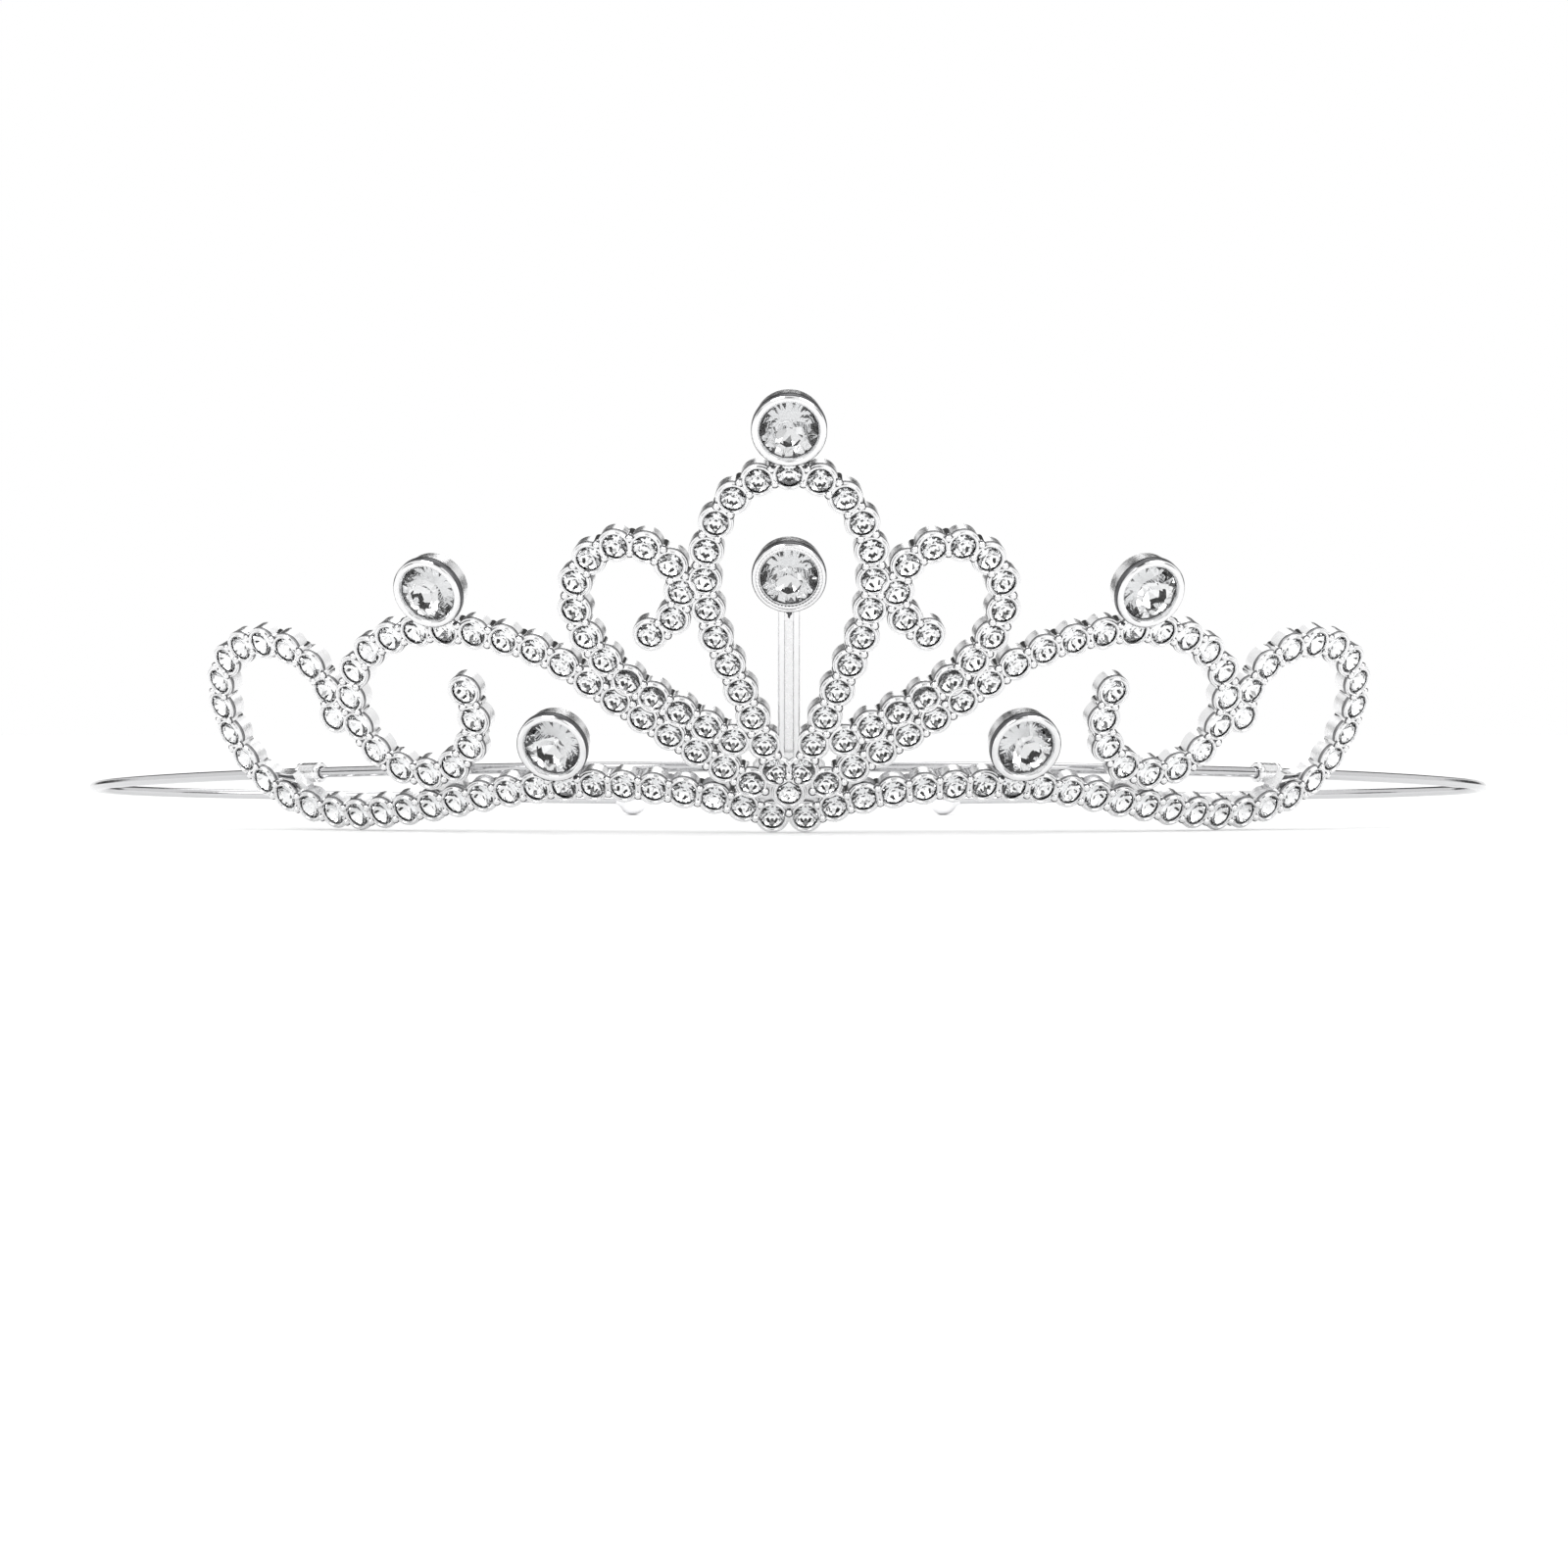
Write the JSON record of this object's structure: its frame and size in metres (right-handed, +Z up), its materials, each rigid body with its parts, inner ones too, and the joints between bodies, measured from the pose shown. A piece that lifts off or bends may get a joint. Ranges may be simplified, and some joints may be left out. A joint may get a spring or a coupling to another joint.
{
  "type": "princess crown headband",
  "caption": "Openwork silver crown of scalloped scrolls set with clear cut stones, standing on an open wire band with a ball on each tip.",
  "frame": {"origin": "on the surface it rests on, under the middle of its length front to back, on its mirror plane", "axes": "+X to the viewer's right along the crown, +Y from the crown's face back to the tips, +Z up"},
  "size_m": [0.161, 0.124, 0.0438],
  "materials": {
    "silver_casting": "bright silver-plated casting",
    "band_wire": "bright plated wire with faint drawing lines",
    "ball_plating": "mirror-bright plated ball",
    "large_stone": "clear cut glass with a silvered back",
    "small_stone": "clear cut glass with a silvered back"
  },
  "bodies": {
    "root": {"crown_frame": "silver_casting", "headband_wire": "band_wire", "tip_ball_left": "ball_plating", "tip_ball_right": "ball_plating", "gem_top": "large_stone", "gem_centre": "large_stone", "gem_upper_left": "large_stone", "gem_upper_right": "large_stone", "gem_lower_left": "large_stone", "gem_lower_right": "large_stone", "stones_arch": "small_stone", "stones_heart_left": "small_stone", "stones_heart_right": "small_stone", "stones_scroll_left": "small_stone", "stones_scroll_right": "small_stone", "stones_base_left": "small_stone", "stones_base_right": "small_stone"}
  },
  "joints": []
}
